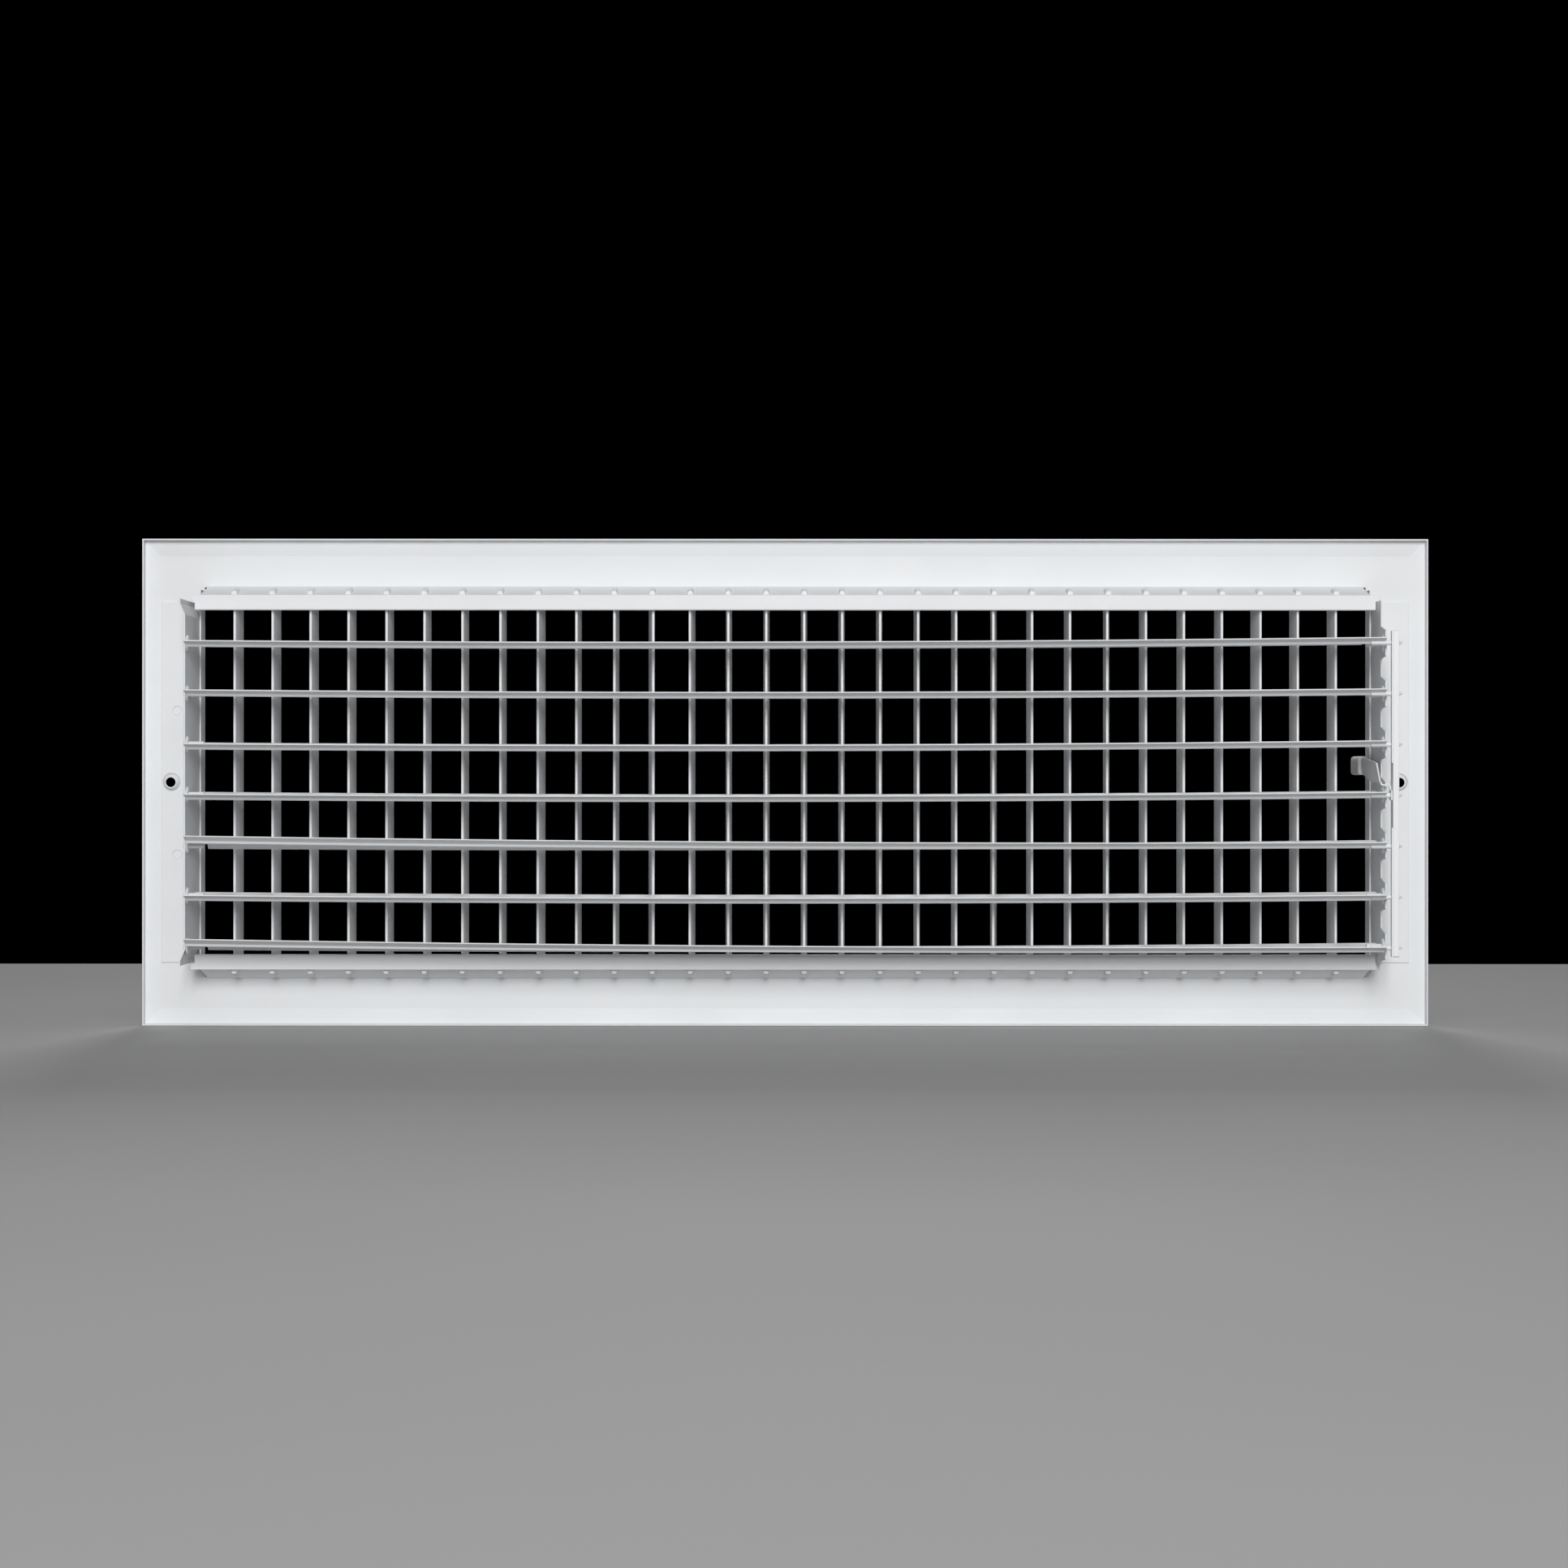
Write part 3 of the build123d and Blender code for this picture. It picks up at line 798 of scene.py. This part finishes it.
@dataclass
class DamperBlades:
    """Folded blades that twist and sag a little, with their pivot and crank pins."""

    pivots: PivotRow = PivotRow()
    half_length: float = 295.8 * MM
    leaf: tuple[tuple[float, float], ...] = (
        (-13.2, -2.6), (-11.0, 0.0), (9.5, 0.0), (10.2, 1.4), (14.3, 3.4))
    shift_back: float = 0.36 * MM
    shift_down: float = -0.51 * MM
    fold_radius: float = 0.7 * MM
    fold_steps: int = 5
    stations: int = 97
    tilt: float = -8.5
    twists: tuple[float, ...] = (-1.0, 0.0, -1.0, -1.0, 10.0, 0.0, 10.0)
    link_lifts: tuple[float, ...] = (1.4, 1.2, 0.8, 0.6, 1.0, 0.25, -0.3)
    plain_lifts: tuple[float, ...] = (-0.1, 0.5, -0.6, -0.3, 1.4, -0.1, 0.8)
    bow: float = 1.5 * MM
    lip_line: float = -11.2 * MM
    lip_half_length: float = 288.0 * MM
    pin_radius: float = 1.5 * MM
    pin_end: float = 298.9 * MM
    pin_length: float = 10.1 * MM
    pin_sides: int = 20
    crank_reach: float = 10.0 * MM
    crank_radius: float = 1.2 * MM
    crank_end: float = 302.5 * MM
    crank_length: float = 13.7 * MM
    point_length: float = 1.8 * MM
    point_radius: float = 0.3 * MM

    def build(self, coat: Material) -> None:
        """Make every blade with its own twist.

        Args:
            coat: Finish of the blades.
        """
        form = self._form()
        line = [(-u * MM, -w * MM, 0.0) for u, w in self.leaf]
        for row in range(self.pivots.count):
            name = f"damper_blade_{row + 1}"
            section = point_mesh(name, line, joined=True)
            piece = form.grow(f"{name}_sheet", section, self._sizes(row), coat)
            settle(piece, name, Slot.STEEL, name)

    def _sizes(self, row: int) -> dict[str, float]:
        """Sizes of one blade, counted down from 0, as its tree takes them."""
        return sizes_of(self, "half_length", "fold_radius", "shift_back", "shift_down", "bow",
                        "lip_line", "lip_half_length", "pin_radius", "pin_length", "crank_radius",
                        "crank_length", "point_length", "point_radius") | {
            "Tilt": math.radians(self.tilt),
            "Twist": math.radians(self.twists[row]),
            "Link Lift": self.link_lifts[row] * MM,
            "Plain Lift": self.plain_lifts[row] * MM,
            "Pivot Y": self.pivots.y,
            "Pivot Z": self.pivots.height(row),
            "Pin Middle": self.pin_end - self.pin_length / 2,
            "Crank Y": self.pivots.y + self.crank_reach,
            "Crank Middle": self.crank_length / 2 - self.crank_end,
            "Crank End": -self.crank_end,
        }

    def _form(self) -> FormSketch:
        """Tree that makes the sheet, warps it and adds the pins.

        Returns:
            The tree, which grows one blade from its section and sizes.
        """
        sketch = FormSketch("blade_form", self._sizes(0))
        blade = self._warp(sketch, self._sheet(sketch))
        sketch.close(sketch.join(blade, *self._pins(sketch)))
        return sketch

    def _sheet(self, sketch: FormSketch) -> Socket:
        """Round the folds, sweep the section, end the front lip short and add the thickness.

        Args:
            sketch: Tree of the blades.

        Returns:
            The straight sheet, about its pivot line.
        """
        size = sketch.source
        line = sketch.add("GeometryNodeMeshToCurve", {"Mesh": size["Geometry"]})
        folded = sketch.add("GeometryNodeFilletCurve", {
            "Curve": line.outputs["Curve"], "Count": self.fold_steps,
            "Radius": size["Fold Radius"], "Limit Radius": True}, mode="POLY")
        run = sketch.add("GeometryNodeCurvePrimitiveLine", {
            "Start": sketch.vector(sketch.sum("MULTIPLY", size["Half Length"], -1.0)),
            "End": sketch.vector(size["Half Length"])})
        stations = sketch.add("GeometryNodeResampleCurve", {
            "Curve": run.outputs["Curve"], "Count": self.stations})
        level = sketch.add("GeometryNodeSetCurveNormal", {"Curve": stations.outputs["Curve"]},
                           mode="Z_UP")
        strip = sketch.add("GeometryNodeCurveToMesh", {
            "Curve": level.outputs["Curve"], "Profile Curve": folded.outputs["Curve"]})
        place = sketch.where()
        in_lip = sketch.sum("LESS_THAN", place["Y"], size["Lip Line"])
        from_middle = sketch.sum("ABSOLUTE", place["X"])
        near_end = sketch.sum("GREATER_THAN", from_middle, size["Lip Half Length"])
        cut = sketch.add("GeometryNodeDeleteGeometry", {
            "Geometry": strip.outputs["Mesh"],
            "Selection": sketch.sum("MULTIPLY", in_lip, near_end)}, domain="FACE")
        top = cut.outputs["Geometry"]
        below = sketch.add("GeometryNodeExtrudeMesh", {
            "Mesh": top, "Offset": sketch.vector(0.0, size["Shift Back"], size["Shift Down"]),
            "Offset Scale": 1.0, "Individual": False}, mode="FACES")
        turned = sketch.add("GeometryNodeFlipFaces", {"Mesh": top})
        sheet = sketch.add("GeometryNodeMergeByDistance", {
            "Geometry": sketch.join(below.outputs["Mesh"], turned.outputs["Mesh"]),
            "Distance": WELD})
        return sheet.outputs["Geometry"]

    @staticmethod
    def _warp(sketch: FormSketch, sheet: Socket) -> Socket:
        """Twist and bow the sheet, lift its ends and seat it on its pivot.

        Args:
            sketch: Tree of the blades.
            sheet: The straight sheet.

        Returns:
            The blade in its place.
        """
        size = sketch.source
        place = sketch.where()
        along = sketch.sum("DIVIDE", place["X"], size["Half Length"])
        share = sketch.sum("MULTIPLY", sketch.sum("ADD", along, 1.0), 0.5)
        angle = sketch.sum("ADD", size["Tilt"], sketch.sum("MULTIPLY", size["Twist"], share))
        arch = sketch.sum("SUBTRACT", sketch.sum("MULTIPLY", along, along), 1.0)
        sag = sketch.sum("MULTIPLY", size["Bow"], arch)
        rise = sketch.sum("SUBTRACT", size["Plain Lift"], size["Link Lift"])
        lean = sketch.sum("MULTIPLY", rise, share)
        lift = sketch.sum("ADD", sketch.sum("ADD", size["Link Lift"], lean), sag)
        height = sketch.sum("ADD", size["Pivot Z"], lift)
        return sketch.swing(sheet, "X_AXIS", angle, sketch.vector(0.0, size["Pivot Y"], height))

    def _pins(self, sketch: FormSketch) -> list[Socket]:
        """Lay down a pivot pin at either end, and the crank pin with its point.

        Args:
            sketch: Tree of the blades.

        Returns:
            The pins.
        """
        size = sketch.source
        pivot_y, pivot_z, crank_y = size["Pivot Y"], size["Pivot Z"], size["Crank Y"]
        lying, outwards = (0.0, RIGHT_ANGLE, 0.0), (0.0, -RIGHT_ANGLE, 0.0)
        pin = sketch.pillar(self.pin_sides, size["Pin Radius"], size["Pin Length"])
        pins = []
        for side in (-1.0, 1.0):
            middle = sketch.sum("MULTIPLY", size["Pin Middle"], side)
            pins.append(sketch.move(pin, sketch.vector(middle, pivot_y, pivot_z), lying))
        crank = sketch.pillar(self.pin_sides, size["Crank Radius"], size["Crank Length"])
        crank_place = sketch.vector(size["Crank Middle"], crank_y, pivot_z)
        pins.append(sketch.move(crank, crank_place, lying))
        point = sketch.cone(self.pin_sides, size["Crank Radius"], size["Point Radius"],
                            size["Point Length"], fill="NGON")
        point_place = sketch.vector(size["Crank End"], crank_y, pivot_z)
        pins.append(sketch.move(point, point_place, outwards))
        return pins


@dataclass
class ClinchRims:
    """Thin raised rims round the clinch marks on the feet of the end plates."""

    across: float = 310.3 * MM
    up: float = 36.7 * MM
    back: float = -4.6 * MM
    radius: float = 2.3 * MM
    ring_sides: int = 40
    bead: float = 0.16 * MM
    bead_sides: int = 10

    def build(self, coat: Material) -> None:
        """Make the four rims as one piece.

        Args:
            coat: Finish of the end plates.
        """
        places = [(x, self.back, z) for x in (-self.across, self.across)
                  for z in (-self.up, self.up)]
        base = point_mesh("clinch_places", places)
        sizes = sizes_of(self, "radius", "bead")
        piece = self._form(sizes).grow("clinch_rims", base, sizes, coat)
        settle(piece, FRAME_BODY, Slot.STEEL)

    def _form(self, sizes: dict[str, float]) -> FormSketch:
        """Tree that sets a ring on every point.

        Args:
            sizes: Sizes of the rims.

        Returns:
            The tree.
        """
        sketch = FormSketch("clinch_form", sizes)
        ring, bead = (
            sketch.add("GeometryNodeCurvePrimitiveCircle", {
                "Resolution": sides, "Radius": sketch.source[size]}).outputs["Curve"]
            for sides, size in ((self.ring_sides, "Radius"), (self.bead_sides, "Bead")))
        tube = sketch.add("GeometryNodeCurveToMesh", {"Curve": ring, "Profile Curve": bead})
        upright = sketch.move(tube.outputs["Mesh"], turn=(RIGHT_ANGLE, 0.0, 0.0))
        sketch.close(sketch.repeat(upright))
        return sketch


@dataclass
class PivotBosses:
    """Shallow bosses pressed out of the end plates round the damper pivots."""

    pivots: PivotRow = PivotRow()
    wall_x: float = 297.2 * MM
    height: float = 0.9 * MM
    base_radius: float = 4.3 * MM
    top_radius: float = 3.3 * MM
    bore_radius: float = 2.2 * MM
    sides: int = 40

    def build(self, coat: Material) -> None:
        """Make the bosses of each end plate as one piece.

        Args:
            coat: Finish of the end plates.
        """
        form = self._form()
        for name, side in (("plain_end_bosses", 1.0), ("link_end_bosses", -1.0)):
            places = [(side * self.wall_x, self.pivots.y, self.pivots.height(row))
                      for row in range(self.pivots.count)]
            piece = form.grow(name, point_mesh(name, places), self._sizes(side), coat)
            settle(piece, FRAME_BODY, Slot.STEEL)

    def _sizes(self, side: float) -> dict[str, float]:
        """Sizes of the bosses at the plain end (1) or the link end (-1)."""
        sizes = sizes_of(self, "height", "base_radius", "top_radius", "bore_radius")
        return sizes | {"Side": -side}

    def _form(self) -> FormSketch:
        """Tree that sets a hollow frustum on every point.

        Returns:
            The tree, which grows one end's bosses from their places and sizes.
        """
        sketch = FormSketch("boss_form", self._sizes(1.0))
        size = sketch.source
        height = size["Height"]
        base, top, bore = size["Base Radius"], size["Top Radius"], size["Bore Radius"]
        outside = sketch.cone(self.sides, base, top, height)
        inside = sketch.cone(self.sides, bore, bore, height)
        rim = sketch.move(sketch.cone(self.sides, top, bore), sketch.vector(z=height))
        foot = sketch.cone(self.sides, base, bore)
        whole = sketch.join(outside, inside, rim, foot)
        place = sketch.where()
        inward = sketch.sum("MULTIPLY", place["Z"], size["Side"])
        lying = sketch.add("GeometryNodeSetPosition", {
            "Geometry": whole, "Position": sketch.vector(inward, place["X"], place["Y"])})
        sketch.close(sketch.repeat(lying.outputs["Geometry"]))
        return sketch


@dataclass
class BarEdge:
    """Turned edge along the rear of the link bar."""

    rear_y: float = 42.1 * MM
    inner_x: float = -299.2 * MM
    width: float = 0.7 * MM
    depth: float = 1.2 * MM
    thin_share: float = 0.2
    runs: tuple[tuple[float, float], ...] = ((-85.9, -22.3), (9.7, 74.8))

    def build(self, coat: Material) -> None:
        """Make the edge as two slim prisms that leave room for the lever.

        Args:
            coat: Finish of the link bar.
        """
        outer_x = self.inner_x + self.width
        corners = ((self.inner_x, self.rear_y), (outer_x, self.rear_y),
                   (outer_x, self.rear_y - self.thin_share * self.depth),
                   (self.inner_x, self.rear_y - self.depth))
        work = bmesh.new()
        for run in self.runs:
            foot, head = ([work.verts.new((x, y, z * MM)) for x, y in corners] for z in run)
            work.faces.new(foot)
            work.faces.new(head)
            bridge(work, foot, head)
        settle(keep(work, "bar_edge", coat), "link_bar", Slot.LINK)


@dataclass
class LeverKnob:
    """Grey moulded sleeve on the lever's end, with a parting seam and a slot for the tongue."""

    middle_x: float = -293.7 * MM
    middle_z: float = 8.7 * MM
    rear_y: float = -0.7 * MM
    width: float = 4.4 * MM
    height: float = 9.5 * MM
    length: float = 15.5 * MM
    corner: float = 1.7 * MM
    least_corner: float = 0.25 * MM
    corner_steps: int = 6
    nose_round: float = 1.6 * MM
    nose_steps: int = 6
    rear_round: float = 0.5 * MM
    rear_steps: int = 4
    flare: float = 0.6 * MM
    seam_half: float = 0.22 * MM
    seam_depth: float = 0.14 * MM
    seam_wall: tuple[float, float] = (0.8, 0.5)
    flank_foot: float = 3.0
    slot_x: float = -294.0 * MM
    slot_width: float = 1.0 * MM
    slot_height: float = 6.0 * MM
    slot_depth: float = 11.3 * MM
    slot_corner: float = 0.1 * MM
    body: str = "damper_blade_4"

    def build(self, coat: Material) -> None:
        """Loft the sleeve from its nose to the floor of its slot.

        Args:
            coat: Finish of the knob.
        """
        work = bmesh.new()
        nose_y = self.rear_y - self.length
        loops = []
        for step in range(self.nose_steps + 1):
            angle = RIGHT_ANGLE * step / self.nose_steps
            y = nose_y + self.nose_round * (1.0 - math.cos(angle))
            loops.append(self._ring(work, y, self.nose_round * (1.0 - math.sin(angle))))
        for step in range(1, self.rear_steps + 1):
            angle = RIGHT_ANGLE * step / self.rear_steps
            y = self.rear_y - self.rear_round * (1.0 - math.sin(angle))
            loops.append(self._ring(work, y, self.rear_round * (1.0 - math.cos(angle))))
        for depth in (0.0, self.slot_depth):
            loops.append(self._slot_ring(work, self.rear_y - depth))
        for near, far in zip(loops, loops[1:]):
            bridge(work, near, far)
        work.faces.new(loops[0])
        work.faces.new(loops[-1])
        settle(keep(work, "knob_sleeve", coat), self.body, Slot.KNOB, "lever_knob")

    def _outline(self, width: float, height: float, corner: float,
                 seam: float) -> list[tuple[float, float]]:
        """A rounded rectangle with a groove at mid height on both flanks.

        Args:
            width: Full width.
            height: Full height.
            corner: Corner radius.
            seam: Depth of the groove.

        Returns:
            Points about the middle, the same count for every size.
        """
        side, head = width / 2, height / 2
        wall_depth, wall_place = self.seam_wall
        quarter = [(side - seam, 0.0), (side - seam * wall_depth, self.seam_half * wall_place),
                   (side, self.seam_half), (side, self.seam_half * self.flank_foot)]
        for step in range(self.corner_steps + 1):
            angle = RIGHT_ANGLE * step / self.corner_steps
            quarter.append((side - corner * (1.0 - math.cos(angle)),
                            head - corner * (1.0 - math.sin(angle))))
        upper = quarter + [(-x, z) for x, z in reversed(quarter)]
        lower = [(-x, -z) for x, z in quarter[1:]] + [(x, -z) for x, z in reversed(quarter[1:])]
        return upper + lower

    def _ring(self, work: bmesh.types.BMesh, y: float, inset: float) -> list[bmesh.types.BMVert]:
        """One loop of the sleeve's outside, which flares a little towards its nose.

        Args:
            work: Mesh in work.
            y: Depth of the loop.
            inset: How far it lies inside the full section.

        Returns:
            Its points.
        """
        flare = self.flare * (self.rear_y - y) / self.length
        points = self._outline(self.width + flare - 2 * inset, self.height - 2 * inset,
                               max(self.corner - inset, self.least_corner), self.seam_depth)
        middle_x = self.middle_x + flare / 2
        return [work.verts.new((middle_x + x, y, self.middle_z + z)) for x, z in points]

    def _slot_ring(self, work: bmesh.types.BMesh, y: float) -> list[bmesh.types.BMVert]:
        """One loop of the slot's inside, at that depth."""
        points = self._outline(self.slot_width, self.slot_height, self.slot_corner, 0.0)
        return [work.verts.new((self.slot_x + x, y, self.middle_z + z)) for x, z in points]


@dataclass(frozen=True)
class Lamp:
    """A soft rectangular light that faces the register, in metres and watts."""

    name: str
    place: Point
    width: float
    height: float
    power: float

    def hang(self) -> None:
        """Hang the light in its place."""
        lamp = bpy.data.lights.new(self.name, "AREA")
        lamp.shape = "RECTANGLE"
        lamp.size = self.width
        lamp.size_y = self.height
        lamp.energy = self.power
        holder = bpy.data.objects.new(self.name, lamp)
        holder.location = self.place
        holder.rotation_euler = (-Vector(self.place)).to_track_quat("-Z", "Y").to_euler()
        bpy.context.scene.collection.objects.link(holder)


@dataclass
class Studio:
    """Floor, lights, background and camera."""

    lamps: tuple[Lamp, ...] = (
        Lamp("key_light", (-0.15, 3.3, 1.1), 0.75, 1.4, 93.0),
        Lamp("top_light", (0.0, 0.9, 2.2), 0.8, 0.8, 6.0),
        Lamp("room_fill", (0.0, -4.0, 2.8), 1.6, 1.6, 62.0),
    )
    camera_distance: float = 1.30
    camera_rise: float = -0.0008
    camera_side: float = 0.0006
    camera_roll: float = -0.02
    camera_near: float = 0.01
    lens: float = 58.68
    sensor: float = 36.0
    floor_gap: float = 0.0002
    floor_rear: float = 0.45
    floor_front: float = 2.2
    floor_half_width: float = 3.0
    floor_levels: tuple[float, float] = (0.41, 0.46)
    floor_patches: float = 3.0
    floor_roughness: float = 0.85
    ambient: float = 0.02
    backdrop: float = 0.0

    def build(self) -> None:
        """Set up the whole studio."""
        bpy.context.scene.view_settings.view_transform = "Standard"
        self._world()
        self._floor()
        for lamp in self.lamps:
            lamp.hang()
        self._camera()

    def _world(self) -> None:
        """Even soft light all round, with a dark background behind the openings."""
        world = bpy.data.worlds.new("studio")
        bpy.context.scene.world = world
        world.use_nodes = True
        tree = world.node_tree
        soft = tree.nodes["Background"]
        dark = lay_node(tree, "ShaderNodeBackground")
        for background, strength in ((soft, self.ambient), (dark, self.backdrop)):
            background.inputs["Color"].default_value = grey(1.0)
            background.inputs["Strength"].default_value = strength
        path = lay_node(tree, "ShaderNodeLightPath")
        seen = path.outputs["Is Camera Ray"]
        for ray in ("Is Glossy Ray", "Is Transmission Ray"):
            either = lay_node(tree, "ShaderNodeMath", operation="MAXIMUM")
            tree.links.new(seen, either.inputs[0])
            tree.links.new(path.outputs[ray], either.inputs[1])
            seen = either.outputs[0]
        mix = lay_node(tree, "ShaderNodeMixShader")
        for place, socket in enumerate((seen, soft.outputs[0], dark.outputs[0])):
            tree.links.new(socket, mix.inputs[place])
        tree.links.new(mix.outputs[0], tree.nodes["World Output"].inputs["Surface"])

    def _floor(self) -> None:
        """Pale floor that the lower lip stands on, ending a little way behind the register."""
        mesh = bpy.data.meshes.new("floor")
        z = CAD_LOW.z - self.floor_gap
        left, right, rear = -self.floor_half_width, self.floor_half_width, -self.floor_rear
        corners = [(left, rear, z), (right, rear, z),
                   (right, self.floor_front, z), (left, self.floor_front, z)]
        mesh.from_pydata(corners, [], [(0, 1, 2, 3)])
        floor = bpy.data.objects.new("floor", mesh)
        bpy.context.scene.collection.objects.link(floor)
        material = bpy.data.materials.new("pale_floor")
        material.use_nodes = True
        tree = material.node_tree
        shader = tree.nodes["Principled BSDF"]
        shader.inputs["Roughness"].default_value = self.floor_roughness
        noise = lay_node(tree, "ShaderNodeTexNoise")
        noise.inputs["Scale"].default_value = self.floor_patches
        ramp = lay_node(tree, "ShaderNodeMapRange")
        for label, level in zip(("To Min", "To Max"), self.floor_levels):
            ramp.inputs[label].default_value = level
        coordinates = lay_node(tree, "ShaderNodeTexCoord")
        tree.links.new(coordinates.outputs["Object"], noise.inputs["Vector"])
        tree.links.new(noise.outputs["Fac"], ramp.inputs["Value"])
        tree.links.new(ramp.outputs["Result"], shader.inputs["Base Color"])
        mesh.materials.append(material)

    def _camera(self) -> None:
        """Camera behind the register, square on to it and rolled by a hair."""
        camera = bpy.data.cameras.new("camera")
        camera.lens = self.lens
        camera.sensor_width = self.sensor
        camera.clip_start = self.camera_near
        holder = bpy.data.objects.new("camera", camera)
        holder.location = (self.camera_side, self.camera_distance, self.camera_rise)
        holder.rotation_euler = (RIGHT_ANGLE, math.radians(self.camera_roll), 2 * RIGHT_ANGLE)
        bpy.context.scene.collection.objects.link(holder)
        bpy.context.scene.camera = holder


NODE_SLOTS = {"lever": Slot.LEVER, "lever_knob": Slot.KNOB, "link_bar": Slot.LINK}


def slot_of(node: str) -> Slot:
    """The slot that a CAD node takes its finish from."""
    return Slot.FIN if node.startswith("fin_") else NODE_SLOTS.get(node, Slot.STEEL)


def main() -> None:
    """Build the pieces in order, dress them and set up the studio."""
    logging.basicConfig(level=logging.INFO, format="%(name)s: %(message)s")
    effects = Effects()
    coats = {finish.slot: finish.make(effects) for finish in FINISHES}
    for name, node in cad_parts.items():
        dress(node, coats[slot_of(name)])
        log.info("%s dressed", name)
    FinRow().build(coats[Slot.FIN])
    DamperBlades().build(coats[Slot.STEEL])
    ClinchRims().build(coats[Slot.STEEL])
    PivotBosses().build(coats[Slot.STEEL])
    BarEdge().build(coats[Slot.LINK])
    LeverKnob().build(coats[Slot.KNOB])
    Studio().build()


if __name__ == "__main__":
    main()
